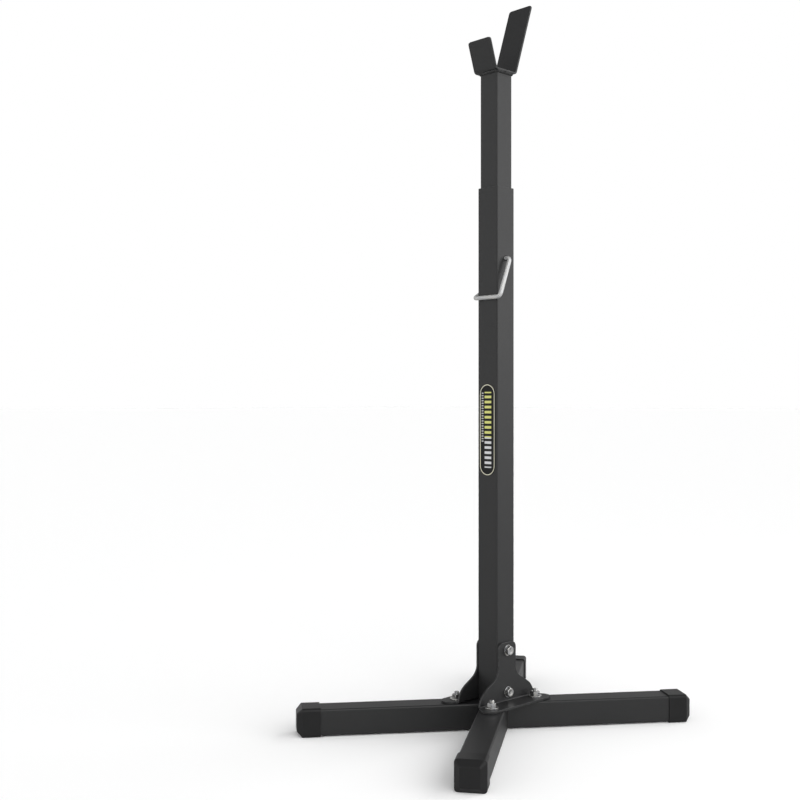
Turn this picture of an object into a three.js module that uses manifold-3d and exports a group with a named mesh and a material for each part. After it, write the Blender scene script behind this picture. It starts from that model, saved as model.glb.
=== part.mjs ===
// A squat stand: four steel legs in a low cross, a square post bolted up between two bent
// brackets, an inner post that slides up out of it, and a bent flat bar on top as the cradle
// for a barbell. A bent wire pin through both posts holds the height.
// Millimetres, +Z up. The barbell lies along X and the lifter stands on the -Y side.
// The origin is on the floor, under the middle of the stand.
import * as THREE from 'three';
import { mergeVertices } from 'three/addons/utils/BufferGeometryUtils.js';
import Module from 'manifold-3d';

const wasm = await Module();
wasm.setup();

// Gaps between pieces that touch
const seatGap = 0.3;
const fastenerGap = 0.1;
const boreClearance = 0.25;
const overrun = 5;

// Legs: square tube, the long one straight through, the other two butted against its sides
const legWidth = 40;
const legHeight = 40;
const legWall = 2;
const legCornerRadius = 3;
const longLegReach = 309.5;
const shortLegReach = 315;
const legAngle = THREE.MathUtils.degToRad(54.5);

// End caps: slipped over the legs, chamfered at the end
const capWall = 1.6;
const capLength = 36;
const capCavityDepth = 27;
const capChamfer = 8;
const capCornerRadius = 5;

// Lower post
const postWidth = 40;
const postWall = 2;
const postCornerRadius = 2.5;
const postLength = 793.4;

// Inner post: it slides in the lower one, with a row of holes for the pin
const slideClearance = 0.5;
const innerWall = 2;
const innerCornerRadius = 2.5;
const innerShowing = 177.4;
const innerFootRoom = 25;
const holePitch = 45;
const holeEndMargin = 30;
const pinBelowPostTop = 110;

// Cradle: flat bar bent up at both ends, welded on a little to the left of the post's middle
const cradleWidth = 45.6;
const cradleOffCentre = -1.2;
const cradleThickness = 3;
const cradleBaseLength = 47;
const cradleLean = THREE.MathUtils.degToRad(18.4);
const shortArmLength = 48.4;
const longArmLength = 121.9;
const cradleInnerRadius = 3;
const armCornerRadius = 4.5;

// Lock pin: one bent wire
const pinRadius = 3.25;
const pinClearance = 1;
const pinBendRadius = 7;
const pinTip = 4;
const bailStandOff = 5.5;
const hookStandOff = 1.2;
const bailDrop = 60.5;
const hookRun = 16;
const hookRise = 9;

// Brackets: sheet steel, a strap on the post and a foot on the legs
const bracketThickness = 3;
const strapHeight = 92.5;
const strapCornerRadius = 9;
const flareHeight = 50;
const flareHalfWidth = 63;
const footReach = 34;
const footHalfEdge = 57;
const bracketBendRadius = 2;

// Fasteners: M8
const boltRadius = 4;
const hexAcrossFlats = 13;
const headHeight = 5.3;
const nutHeight = 6.5;
const threadShowing = 4;
const postWasherRadius = 8.4;
const footWasherRadius = 10.8;
const washerThickness = 1.6;
const upperBoltHeight = 80.6;
const lowerBoltHeight = 16.5;
const legBoltReach = 62;
const legAccessRadius = 9;

// Label: a thin sticker on the front of the lower post
const labelWidth = 32;
const labelLength = 142;
const labelThickness = 0.4;
const labelCentreHeight = 419.2;

// Where things come to stand, worked out from the sizes above
const legBottom = capWall + seatGap;
const legTop = legBottom + legHeight;
const postBottom = legTop + seatGap;
const postTop = postBottom + postLength;
const pinHeight = postTop - pinBelowPostTop;
const innerWidth = postWidth - 2 * (postWall + slideClearance);
const innerTop = postTop + innerShowing;
const upperBoltAt = legTop + upperBoltHeight;
const lowerBoltAt = legTop + lowerBoltHeight;
const innerFootLimit = upperBoltAt + boltRadius + innerFootRoom;
const holeSteps = Math.floor((pinHeight - innerFootLimit - holeEndMargin) / holePitch);
const innerBottom = pinHeight - holeSteps * holePitch - holeEndMargin;
const pinHoleRadius = pinRadius + pinClearance;
const boltHoleRadius = boltRadius + boreClearance;
const strapInside = postWidth / 2 + seatGap;
const strapOutside = strapInside + bracketThickness;
const footBottom = legTop + seatGap;
const footTop = footBottom + bracketThickness;

// How finely round shapes are cut
const cornerSegments = 2;
const bendSegments = 4;
const outlineSegments = 12;
const holeSides = 16;
const shankSides = 16;
const washerSides = 24;
const pinSides = 12;
const pinSteps = 76;

// Finishes
const powderCoat = { color: 0x1d1e20, roughness: 0.55, metalness: 0.3 };
const blackPlastic = { color: 0x17181a, roughness: 0.6, metalness: 0 };
const brightZinc = { color: 0xb9bcc0, roughness: 0.3, metalness: 1 };
const labelPrint = { color: 0x101112, roughness: 0.35, metalness: 0 };

// Turns a closed three.js geometry into a solid that can be cut.
function solid(geometry) {
  const bare = geometry.clone();
  bare.deleteAttribute('normal');
  bare.deleteAttribute('uv');
  const merged = mergeVertices(bare);
  const mesh = new wasm.Mesh({
    numProp: 3,
    vertProperties: new Float32Array(merged.attributes.position.array),
    triVerts: new Uint32Array(merged.index.array),
  });
  return new wasm.Manifold(mesh);
}

// Turns a cut solid back into a geometry.
function surface(body) {
  const { vertProperties, triVerts } = body.getMesh();
  const geometry = new THREE.BufferGeometry();
  geometry.setAttribute('position', new THREE.BufferAttribute(vertProperties, 3));
  geometry.setIndex(new THREE.BufferAttribute(triVerts, 1));
  const flat = geometry.toNonIndexed();
  flat.computeVertexNormals();
  return flat;
}

function cut(body, tools) {
  return tools.reduce((rest, tool) => rest.subtract(tool), body);
}

function piece(name, geometry, finish, parent) {
  const mesh = new THREE.Mesh(geometry, new THREE.MeshStandardMaterial(finish));
  mesh.name = name;
  parent.add(mesh);
  return mesh;
}

function roundedRectangle(width, height, radius) {
  const shape = new THREE.Shape();
  const x = width / 2 - radius;
  const y = height / 2 - radius;
  shape.absarc(x, y, radius, 0, Math.PI / 2);
  shape.absarc(-x, y, radius, Math.PI / 2, Math.PI);
  shape.absarc(-x, -y, radius, Math.PI, Math.PI * 1.5);
  shape.absarc(x, -y, radius, Math.PI * 1.5, Math.PI * 2);
  return shape;
}

// Extrudes a shape along +Z from zero.
function prism(shape, length, curveSegments) {
  return new THREE.ExtrudeGeometry(shape, { depth: length, bevelEnabled: false, curveSegments });
}

// A square tube along +Z from zero.
function tube(width, height, wall, radius, length) {
  const shape = roundedRectangle(width, height, radius);
  const inside = roundedRectangle(width - 2 * wall, height - 2 * wall, radius - wall / 2);
  shape.holes.push(inside);
  return prism(shape, length, cornerSegments);
}

// A round bar along +Z, its middle at the origin.
function bar(radius, length, sides) {
  return new THREE.CylinderGeometry(radius, radius, length, sides).rotateX(Math.PI / 2);
}

// The cutter for a round hole along X at a height.
function holeAlongX(radius, length, height) {
  return solid(bar(radius, length, holeSides).rotateY(Math.PI / 2).translate(0, 0, height));
}

// Legs. Each lies along its own +X, with its tube's middle at half its height.
const alongX = new THREE.Matrix4().makeRotationY(Math.PI / 2);
const capEndDepth = capLength - capCavityDepth + seatGap;

function legTube(length) {
  return tube(legHeight, legWidth, legWall, legCornerRadius, length).applyMatrix4(alongX);
}

// A bolt's hole in the top wall, and the wide hole below it that the bolt is put in through.
function legBoltHoles(reach) {
  const depth = 2 * (legWall + overrun);
  const hole = bar(boltHoleRadius, depth, holeSides).translate(reach, 0, legHeight / 2);
  const access = bar(legAccessRadius, depth, washerSides).translate(reach, 0, -legHeight / 2);
  return [solid(hole), solid(access)];
}

function longLeg() {
  const half = longLegReach - capEndDepth;
  const body = solid(legTube(2 * half).translate(-half, 0, 0));
  return surface(cut(body, [...legBoltHoles(legBoltReach), ...legBoltHoles(-legBoltReach)]));
}

// A short leg's inner end is cut along the side of the long leg, which crosses it at an angle.
function shortLeg(crossing) {
  const width = legWidth + 2 * seatGap;
  const crossingLeg = new THREE.BoxGeometry(2 * longLegReach, width, legHeight + 2 * overrun);
  const room = solid(crossingLeg.rotateZ(crossing));
  const body = solid(legTube(shortLegReach - capEndDepth));
  return surface(cut(body, [room, ...legBoltHoles(legBoltReach)]));
}

// A block with a rectangle at each end, the first at zero and the second at the length along +X.
function taperedBlock(startWidth, startHeight, endWidth, endHeight, length) {
  const ends = [
    [0, startWidth / 2, startHeight / 2],
    [length, endWidth / 2, endHeight / 2],
  ];
  const corners = ends.flatMap(([x, y, z]) => [x, -y, -z, x, y, -z, x, y, z, x, -y, z]);
  const sides = [0, 1, 2, 3].flatMap((i) => {
    const j = (i + 1) % 4;
    return [i, j, j + 4, i, j + 4, i + 4];
  });
  const geometry = new THREE.BufferGeometry();
  geometry.setAttribute('position', new THREE.Float32BufferAttribute(corners, 3));
  geometry.setIndex([0, 2, 1, 0, 3, 2, 4, 5, 6, 4, 6, 7, ...sides]);
  return geometry;
}

// An end cap, its rim at zero and its end along +X: a cup over the leg with a chamfered end.
function endCap() {
  const width = legWidth + 2 * (seatGap + capWall);
  const height = legHeight + 2 * (seatGap + capWall);
  const outside = prism(roundedRectangle(height, width, capCornerRadius), capLength, cornerSegments);
  const spread = 2 * capLength;
  const taper = taperedBlock(
    width - 2 * capChamfer + spread,
    height - 2 * capChamfer + spread,
    width - 2 * capChamfer,
    height - 2 * capChamfer,
    capLength,
  );
  const room = roundedRectangle(
    legHeight + 2 * seatGap,
    legWidth + 2 * seatGap,
    legCornerRadius + seatGap,
  );
  const cavity = prism(room, capCavityDepth + overrun, cornerSegments)
    .translate(0, 0, -overrun)
    .applyMatrix4(alongX);
  const body = solid(outside.applyMatrix4(alongX)).intersect(solid(taper));
  return surface(cut(body, [solid(cavity)]));
}

// Posts, both upright, each starting at its own zero.
function lowerPost() {
  const body = solid(tube(postWidth, postWidth, postWall, postCornerRadius, postLength));
  const length = postWidth + 2 * overrun;
  return surface(cut(body, [
    holeAlongX(pinHoleRadius, length, pinHeight - postBottom),
    holeAlongX(boltHoleRadius, length, upperBoltAt - postBottom),
    holeAlongX(boltHoleRadius, length, lowerBoltAt - postBottom),
  ]));
}

function innerPost() {
  const length = innerTop - innerBottom;
  const body = solid(tube(innerWidth, innerWidth, innerWall, innerCornerRadius, length));
  const holes = [];
  for (let step = 0; step <= holeSteps; step += 1) {
    const height = holeEndMargin + step * holePitch;
    holes.push(holeAlongX(pinHoleRadius, innerWidth + 2 * overrun, height));
  }
  return surface(cut(body, holes));
}

// The cradle's side view, drawn in (y, z) from the middle of its underside: the flat bar's
// outer face, bent up at both ends, and its inner face one thickness inside.
function cradleOutline() {
  const outerRadius = cradleInnerRadius + cradleThickness;
  const turn = Math.PI / 2 - cradleLean;
  const setback = outerRadius * Math.tan(turn / 2);
  const straight = cradleBaseLength / 2 - setback;
  const cosine = Math.cos(cradleLean);
  const sine = Math.sin(cradleLean);
  const shape = new THREE.Shape();
  const tip = (side, length, inset) => [
    side * (cradleBaseLength / 2 + length * sine - inset * cosine),
    length * cosine + inset * sine,
  ];
  shape.moveTo(-straight, 0);
  shape.lineTo(straight, 0);
  shape.absarc(straight, outerRadius, outerRadius, -Math.PI / 2, -Math.PI / 2 + turn);
  shape.lineTo(...tip(1, longArmLength, 0));
  shape.lineTo(...tip(1, longArmLength, cradleThickness));
  shape.absarc(straight, outerRadius, cradleInnerRadius, -Math.PI / 2 + turn, -Math.PI / 2, true);
  shape.absarc(-straight, outerRadius, cradleInnerRadius, -Math.PI / 2, -Math.PI / 2 - turn, true);
  shape.lineTo(...tip(-1, shortArmLength, cradleThickness));
  shape.lineTo(...tip(-1, shortArmLength, 0));
  shape.absarc(-straight, outerRadius, outerRadius, -Math.PI / 2 - turn, -Math.PI / 2);
  return shape;
}

// Cuts one corner of an arm's tip round, across the arm's thickness.
function cornerCutter(xSide, ySide, armLength) {
  const shape = new THREE.Shape();
  const radius = armCornerRadius;
  shape.moveTo(overrun, overrun);
  shape.lineTo(-radius, overrun);
  shape.lineTo(-radius, 0);
  shape.absarc(-radius, -radius, radius, Math.PI / 2, 0, true);
  shape.lineTo(overrun, -radius);
  const depth = cradleThickness + 2 * overrun;
  const geometry = prism(shape, depth, bendSegments).translate(0, 0, -depth / 2);
  geometry.rotateX(Math.PI / 2);
  if (xSide < 0) {
    geometry.rotateZ(Math.PI);
  }
  geometry.translate((xSide * cradleWidth) / 2, 0, armLength);
  geometry.rotateX(-ySide * cradleLean);
  return solid(geometry.translate(0, (ySide * cradleBaseLength) / 2, 0));
}

function cradle() {
  const strip = prism(cradleOutline(), cradleWidth, bendSegments)
    .rotateX(Math.PI / 2)
    .rotateZ(Math.PI / 2)
    .translate(-cradleWidth / 2, 0, 0);
  const corners = [1, -1].flatMap((xSide) => [
    cornerCutter(xSide, 1, longArmLength),
    cornerCutter(xSide, -1, shortArmLength),
  ]);
  return surface(cut(solid(strip), corners));
}

// The pin's centre line: the shaft through both posts, down the right side, across the front
// face and round the left side. Its zero is on the shaft, in the middle of the post.
function pinPath() {
  const bailX = postWidth / 2 + bailStandOff + pinRadius;
  const hookX = -(postWidth / 2 + hookStandOff + pinRadius);
  const frontY = -(postWidth / 2 + seatGap + pinRadius);
  const corners = [
    new THREE.Vector3(-(postWidth / 2 + pinTip), 0, 0),
    new THREE.Vector3(bailX, 0, 0),
    new THREE.Vector3(bailX, frontY, -bailDrop),
    new THREE.Vector3(hookX, frontY, -bailDrop),
    new THREE.Vector3(hookX, frontY + hookRun, -bailDrop + hookRise),
  ];
  const path = new THREE.CurvePath();
  let from = corners[0];
  for (let i = 1; i < corners.length - 1; i += 1) {
    const corner = corners[i];
    const before = corners[i - 1].clone().sub(corner).setLength(pinBendRadius).add(corner);
    const after = corners[i + 1].clone().sub(corner).setLength(pinBendRadius).add(corner);
    path.add(new THREE.LineCurve3(from, before));
    path.add(new THREE.QuadraticBezierCurve3(before, corner, after));
    from = after;
  }
  path.add(new THREE.LineCurve3(from, corners[corners.length - 1]));
  return path;
}

function lockPin() {
  const section = new THREE.Shape();
  section.absarc(0, 0, pinRadius, 0, Math.PI * 2);
  const settings = { extrudePath: pinPath(), steps: pinSteps, curveSegments: pinSides / 2 };
  return new THREE.ExtrudeGeometry(section, { ...settings, bevelEnabled: false });
}

// The strap seen along X, in (y, z) from the underside of the foot: straight with a round top,
// then flaring out to the bend. The shares place the flare's two curve handles.
const flareHandleOutShares = [0.04, 0.91];
const flareHandleDownShares = [0.5, 0.38];

function strapOutline() {
  const half = postWidth / 2;
  const out = flareHalfWidth - half;
  const flareTop = bracketThickness + flareHeight;
  const handle = (side, i) => [
    side * (half + flareHandleOutShares[i] * out),
    flareTop - flareHandleDownShares[i] * flareHeight,
  ];
  const shape = new THREE.Shape();
  shape.moveTo(-flareHalfWidth, 0);
  shape.lineTo(flareHalfWidth, 0);
  shape.lineTo(flareHalfWidth, bracketThickness);
  shape.bezierCurveTo(...handle(1, 1), ...handle(1, 0), half, flareTop);
  const roundFrom = strapHeight - strapCornerRadius;
  const roundAt = half - strapCornerRadius;
  shape.absarc(roundAt, roundFrom, strapCornerRadius, 0, Math.PI / 2);
  shape.absarc(-roundAt, roundFrom, strapCornerRadius, Math.PI / 2, Math.PI);
  shape.lineTo(-half, flareTop);
  shape.bezierCurveTo(...handle(-1, 0), ...handle(-1, 1), -flareHalfWidth, bracketThickness);
  return shape;
}

// The foot seen from above, in (x, y) from the strap's inner face: a straight front edge with
// an ear at each end. The shares place an ear's tip and its curve handles, as shares of the
// reach and of the flare's half width.
const earReachShares = [0.25, 0.5, 0.68, 0.9, 1];
const earWidthShares = [1.14, 1.2, 1.185, 1.15, 1.04];

function footOutline() {
  const bend = bracketThickness + bracketBendRadius;
  const point = (side, i) => [
    earReachShares[i] * footReach,
    side * earWidthShares[i] * flareHalfWidth,
  ];
  const shape = new THREE.Shape();
  shape.moveTo(0, -flareHalfWidth);
  shape.lineTo(bend, -flareHalfWidth);
  shape.bezierCurveTo(...point(-1, 0), ...point(-1, 1), ...point(-1, 2));
  shape.bezierCurveTo(...point(-1, 3), ...point(-1, 4), footReach, -footHalfEdge);
  shape.lineTo(footReach, footHalfEdge);
  shape.bezierCurveTo(...point(1, 4), ...point(1, 3), ...point(1, 2));
  shape.bezierCurveTo(...point(1, 1), ...point(1, 0), bend, flareHalfWidth);
  shape.lineTo(0, flareHalfWidth);
  return shape;
}

// The sheet seen along Y, in (x, z): upright strap, round bend, flat foot.
function bentSheet() {
  const outer = bracketThickness + bracketBendRadius;
  const shape = new THREE.Shape();
  shape.absarc(outer, outer, outer, Math.PI, Math.PI * 1.5);
  shape.lineTo(footReach + overrun, 0);
  shape.lineTo(footReach + overrun, bracketThickness);
  shape.absarc(outer, outer, bracketBendRadius, Math.PI * 1.5, Math.PI, true);
  shape.lineTo(bracketThickness, strapHeight + overrun);
  shape.lineTo(0, strapHeight + overrun);
  return shape;
}

// One bracket, from the strap's inner face and the foot's underside. The strap's outline trims
// the bent sheet as far as the bend, and the foot's outline trims what lies flat.
function bracket() {
  const length = 2 * flareHalfWidth * Math.max(...earWidthShares) + 2 * overrun;
  const sheet = prism(bentSheet(), length, bendSegments).rotateX(Math.PI / 2);
  const bend = bracketThickness + bracketBendRadius;
  const strapTrim = prism(strapOutline(), overrun + bend, outlineSegments)
    .rotateX(Math.PI / 2)
    .rotateZ(Math.PI / 2)
    .translate(-overrun, 0, 0);
  const footTrim = prism(footOutline(), bend, outlineSegments);
  const trim = solid(strapTrim).add(solid(footTrim));
  const body = solid(sheet.translate(0, length / 2, 0)).intersect(trim);
  const boltHoles = [upperBoltAt, lowerBoltAt].map((height) => (
    holeAlongX(boltHoleRadius, 2 * (bend + overrun), height - footBottom)
  ));
  const legHoles = [1, -1].map((side) => {
    const hole = bar(boltHoleRadius, 2 * (bracketThickness + overrun), holeSides);
    const x = legBoltReach * Math.cos(legAngle) - strapInside;
    return solid(hole.translate(x, side * legBoltReach * Math.sin(legAngle), 0));
  });
  return surface(cut(body, [...boltHoles, ...legHoles]));
}

// Fasteners. A bolt's shank runs up +Z from the face under its head.
const hexRadius = hexAcrossFlats / 2 / Math.cos(Math.PI / 6);

function bolt(length) {
  const head = bar(hexRadius, headHeight, 6).translate(0, 0, -headHeight / 2);
  const shank = bar(boltRadius, length + headHeight / 2, shankSides);
  shank.translate(0, 0, length / 2 - headHeight / 4);
  return surface(solid(head).add(solid(shank)));
}

function nut() {
  const body = solid(bar(hexRadius, nutHeight, 6).translate(0, 0, nutHeight / 2));
  return surface(cut(body, [solid(bar(boltHoleRadius, 2 * (nutHeight + overrun), holeSides))]));
}

function washer(radius) {
  const body = solid(bar(radius, washerThickness, washerSides));
  const hole = solid(bar(boltHoleRadius, washerThickness + 2 * overrun, holeSides));
  return surface(cut(body, [hole]).translate([0, 0, washerThickness / 2]));
}

// Assembly
const stand = new THREE.Group();
const base = new THREE.Group();
stand.add(base);

const longArms = { right: legAngle, left: legAngle + Math.PI };
const shortArms = { front: -legAngle, rear: Math.PI - legAngle };

const longTube = piece('base_long_leg', longLeg(), powderCoat, base);
longTube.rotation.z = legAngle;
longTube.position.z = legBottom + legHeight / 2;

// What stands on each arm: its cap, and the bolt, washer and nut that hold the bracket's foot.
const legBoltStart = legTop - legWall - fastenerGap;
const washerOnFoot = footTop + fastenerGap;
const nutOnFoot = washerOnFoot + washerThickness + fastenerGap;
const legBoltLength = nutOnFoot + nutHeight + threadShowing - legBoltStart;

for (const [side, angle] of Object.entries({ ...longArms, ...shortArms })) {
  const arm = new THREE.Group();
  arm.rotation.z = angle;
  base.add(arm);
  if (side in shortArms) {
    const leg = piece(`base_${side}_leg`, shortLeg(2 * legAngle), powderCoat, arm);
    leg.position.z = legBottom + legHeight / 2;
  }
  const cap = piece(`end_cap_${side}`, endCap(), blackPlastic, arm);
  const reach = side in shortArms ? shortLegReach : longLegReach;
  cap.position.set(reach - capLength, 0, legBottom + legHeight / 2);
  const legBolt = piece(`leg_bolt_${side}`, bolt(legBoltLength), brightZinc, arm);
  legBolt.position.set(legBoltReach, 0, legBoltStart);
  const legWasher = piece(`leg_washer_${side}`, washer(footWasherRadius), brightZinc, arm);
  legWasher.position.set(legBoltReach, 0, washerOnFoot);
  const legNut = piece(`leg_nut_${side}`, nut(), brightZinc, arm);
  legNut.position.set(legBoltReach, 0, nutOnFoot);
}

const lower = piece('lower_post', lowerPost(), powderCoat, stand);
lower.position.z = postBottom;

// The two brackets face each other across the post.
for (const [side, turn] of Object.entries({ right: 0, left: Math.PI })) {
  const half = new THREE.Group();
  half.rotation.z = turn;
  stand.add(half);
  const plate = piece(`bracket_${side}`, bracket(), powderCoat, half);
  plate.position.set(strapInside, 0, footBottom);
}

// The through bolts have their heads on the right and their nuts on the left.
const stackStart = strapOutside + fastenerGap;
const stackNut = stackStart + washerThickness + fastenerGap;
const postBoltLength = 2 * stackNut + nutHeight + threadShowing;

for (const [level, height] of Object.entries({ upper: upperBoltAt, lower: lowerBoltAt })) {
  const line = new THREE.Group();
  line.rotation.y = -Math.PI / 2;
  line.position.z = height;
  stand.add(line);
  const through = piece(`post_bolt_${level}`, bolt(postBoltLength), brightZinc, line);
  through.position.z = -stackNut;
  const washerShape = washer(postWasherRadius);
  const headWasher = piece(`post_washer_right_${level}`, washerShape, brightZinc, line);
  headWasher.position.z = -stackStart - washerThickness;
  const nutWasher = piece(`post_washer_left_${level}`, washerShape, brightZinc, line);
  nutWasher.position.z = stackStart;
  const throughNut = piece(`post_nut_${level}`, nut(), brightZinc, line);
  throughNut.position.z = stackNut;
}

const inner = piece('inner_post', innerPost(), powderCoat, stand);
inner.position.z = innerBottom;

const saddle = piece('cradle', cradle(), powderCoat, stand);
saddle.position.set(cradleOffCentre, 0, innerTop + seatGap);

const pin = piece('lock_pin', lockPin(), brightZinc, stand);
pin.position.z = pinHeight;

// The label is a thin sticker with round ends, on the front of the post.
const labelShape = roundedRectangle(labelWidth, labelLength, labelWidth / 2);
const labelSheet = prism(labelShape, labelThickness, outlineSegments).rotateX(Math.PI / 2);
const label = piece('label', labelSheet, labelPrint, stand);
label.position.set(0, -postWidth / 2 - fastenerGap, postBottom + labelCentreHeight);

export default stand;
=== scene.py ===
"""A squat stand in black powder coat: four low legs, a bolted post, a sliding inner post with a
bent cradle for the bar, and a wire pin. Metres, +Z up, origin on the floor under the middle."""
import math
import random

import bpy
from mathutils import Matrix, Vector


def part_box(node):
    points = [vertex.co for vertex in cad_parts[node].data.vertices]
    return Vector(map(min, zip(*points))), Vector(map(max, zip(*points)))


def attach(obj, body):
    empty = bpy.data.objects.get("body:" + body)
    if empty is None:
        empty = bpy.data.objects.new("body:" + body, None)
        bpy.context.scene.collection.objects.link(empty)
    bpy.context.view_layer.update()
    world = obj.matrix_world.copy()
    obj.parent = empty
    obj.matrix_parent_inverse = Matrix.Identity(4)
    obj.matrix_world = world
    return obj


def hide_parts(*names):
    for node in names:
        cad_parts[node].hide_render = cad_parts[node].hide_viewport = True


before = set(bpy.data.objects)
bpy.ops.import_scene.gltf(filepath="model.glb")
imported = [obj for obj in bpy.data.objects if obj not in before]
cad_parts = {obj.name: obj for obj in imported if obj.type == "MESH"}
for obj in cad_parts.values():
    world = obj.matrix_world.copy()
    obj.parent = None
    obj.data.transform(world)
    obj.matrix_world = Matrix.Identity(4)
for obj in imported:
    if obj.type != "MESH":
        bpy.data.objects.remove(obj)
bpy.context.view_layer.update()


# Legs: one square steel tube runs straight through, and two short ones butt against its sides
# with a slanted cut. Rolled tube, sawn to length, drilled from both sides and powder coated.
leg_width = 0.040
leg_wall = 0.002
leg_corner = 0.003
long_leg_half = 0.3002
short_leg_length = 0.3057
leg_slant = math.radians(54.5)
leg_bolt_hole = 0.00425
leg_access_hole = 0.009
seat_gap = 0.0003
sawn_edge = 0.0004
edge_round = 0.0003
sharp_turn = math.radians(40)
tube_corner_steps = 6
drill_sides = 40
drill_walls = 4
coat_dark = (0.0078, 0.0079, 0.0082)
coat_pale = (0.0114, 0.0116, 0.0121)
coat_fleck = (0.045, 0.045, 0.047)
# Grey for the edges: partly rubbed wear, partly a painted highlight along them.
coat_rub_and_highlight = (0.14, 0.14, 0.142)
coat_gloss = 0.48
coat_rub_and_highlight_reach = 0.0013


def add_node(tree, kind, inputs=None, **settings):
    node = tree.nodes.new("ShaderNode" + kind)
    for key, value in settings.items():
        setattr(node, key, value)
    for key, value in (inputs or {}).items():
        if isinstance(value, bpy.types.NodeSocket):
            tree.links.new(value, node.inputs[key])
        else:
            node.inputs[key].default_value = value
    return node


def stretch(tree, value, low, high, to_low, to_high):
    """Carries a value from one range to another, held at its ends."""
    ends = {"From Min": low, "From Max": high, "To Min": to_low, "To Max": to_high}
    return add_node(tree, "MapRange", {"Value": value, **ends}).outputs["Result"]


def speckle(tree, place, scale, detail=2.0, rough=0.5):
    settings = {"Vector": place, "Scale": scale, "Detail": detail, "Roughness": rough}
    return add_node(tree, "TexNoise", settings).outputs["Fac"]


def math_of(tree, operation, first, second=0.0):
    return add_node(tree, "Math", {0: first, 1: second}, operation=operation).outputs[0]


def times(tree, first, second):
    return math_of(tree, "MULTIPLY", first, second)


def likeness(tree, first, second):
    """How far two directions agree, from -1 to 1."""
    node = add_node(tree, "VectorMath", {0: first, 1: second}, operation="DOT_PRODUCT")
    return node.outputs["Value"]


def colour_between(tree, factor, first, second):
    node = add_node(tree, "Mix", {"Factor": factor}, data_type="RGBA")
    for socket, value in ((node.inputs[6], first), (node.inputs[7], second)):
        if isinstance(value, bpy.types.NodeSocket):
            tree.links.new(value, socket)
        else:
            socket.default_value = (*value, 1)
    return node.outputs[2]


def new_finish(name):
    """An empty material with its node tree, its shader and the piece's own coordinates."""
    finish = bpy.data.materials.new(name)
    finish.use_nodes = True
    tree = finish.node_tree
    place = add_node(tree, "TexCoord").outputs["Object"]
    return finish, tree, tree.nodes["Principled BSDF"], place


def lay_on(tree, shader, colour, rough, relief, strength, depth):
    """Joins a finish's colour, its roughness and its fine relief to the shader."""
    tree.links.new(colour, shader.inputs["Base Color"])
    tree.links.new(rough, shader.inputs["Roughness"])
    bump = add_node(tree, "Bump", {"Strength": strength, "Distance": depth, "Height": relief})
    tree.links.new(bump.outputs["Normal"], shader.inputs["Normal"])


def rubbed_and_highlit_edges(tree, place, reach, patches, patch_start, patch_full):
    """Where a surface turns over an edge, in patches, 0 to 1: for rubbed wear and a painted
    highlight.
    """
    barely_turned, well_turned = 0.99, 0.86
    soft = add_node(tree, "Bevel", {"Radius": reach}, samples=4).outputs["Normal"]
    flat = add_node(tree, "NewGeometry").outputs["Normal"]
    edge = stretch(tree, likeness(tree, soft, flat), barely_turned, well_turned, 0.0, 1.0)
    patch = speckle(tree, place, scale=patches, detail=4)
    return times(tree, edge, stretch(tree, patch, patch_start, patch_full, 0, 1))


def powder_coat():
    """Satin black coat: orange peel, fine grit, faint clouding; edges rubbed smooth, painted grey
    highlight.
    """
    finish, tree, shader, place = new_finish("black_powder_coat")
    rub_and_highlight_share, rub_polish = 0.6, 0.1
    grit_dulling, peel_height, grit_height = 0.6, 1.6, 0.5
    smoothest, dullest = 0.40, 0.48
    fleck_rim, fleck_core, fleck_shade = 0.72, 0.82, 0.5
    cloud = speckle(tree, place, scale=11, detail=3)
    grit = speckle(tree, place, scale=1900, detail=1)
    peel = speckle(tree, place, scale=340, detail=2)
    flecks = speckle(tree, place, scale=2600, detail=0)
    flecks = stretch(tree, flecks, fleck_rim, fleck_core, 0, fleck_shade)
    rub_and_highlight = rubbed_and_highlit_edges(tree, place, coat_rub_and_highlight_reach, patches=160, patch_start=0.38, patch_full=0.62)
    coat = colour_between(tree, cloud, coat_dark, coat_pale)
    coat = colour_between(tree, flecks, coat, coat_fleck)
    # Edges are painted paler grey: partly wear, partly a painted highlight.
    coat = colour_between(tree, times(tree, rub_and_highlight, rub_and_highlight_share), coat, coat_rub_and_highlight)
    dulling = math_of(tree, "ADD", cloud, times(tree, grit, grit_dulling))
    rough = stretch(tree, dulling, 0.4, 1.2, smoothest, dullest)
    rough = math_of(tree, "SUBTRACT", rough, times(tree, rub_and_highlight, rub_polish))
    relief = math_of(tree, "ADD", times(tree, peel, peel_height), times(tree, grit, grit_height))
    shader.inputs["Specular IOR Level"].default_value = coat_gloss
    lay_on(tree, shader, coat, rough, relief, strength=0.35, depth=0.00007)
    return finish


def rounded_rectangle(width, height, corner, steps):
    """Points round a rectangle with round corners, anticlockwise from the right side."""
    points = []
    for quarter, (right, up) in enumerate(((1, 1), (-1, 1), (-1, -1), (1, -1))):
        for step in range(steps + 1):
            turn = math.pi / 2 * (quarter + step / steps)
            across = right * (width / 2 - corner) + corner * math.cos(turn)
            points.append((across, up * (height / 2 - corner) + corner * math.sin(turn)))
    return points


def circle(radius, height, sides):
    """Points on a level circle about the Z axis."""
    turns = [math.tau * i / sides for i in range(sides)]
    return [(radius * math.cos(turn), radius * math.sin(turn), height) for turn in turns]


def loft(rings, closed=False, capped=False):
    """Skins a row of rings that have equally many points each."""
    count = len(rings[0])
    points = [point for ring in rings for point in ring]
    faces = []
    for row in range(len(rings) if closed else len(rings) - 1):
        near = row * count
        far = (row + 1) % len(rings) * count
        for i in range(count):
            j = (i + 1) % count
            faces.append((near + i, near + j, far + j, far + i))
    if capped:
        faces.append(tuple(reversed(range(count))))
        faces.append(tuple(range(len(points) - count, len(points))))
    return points, faces


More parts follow.
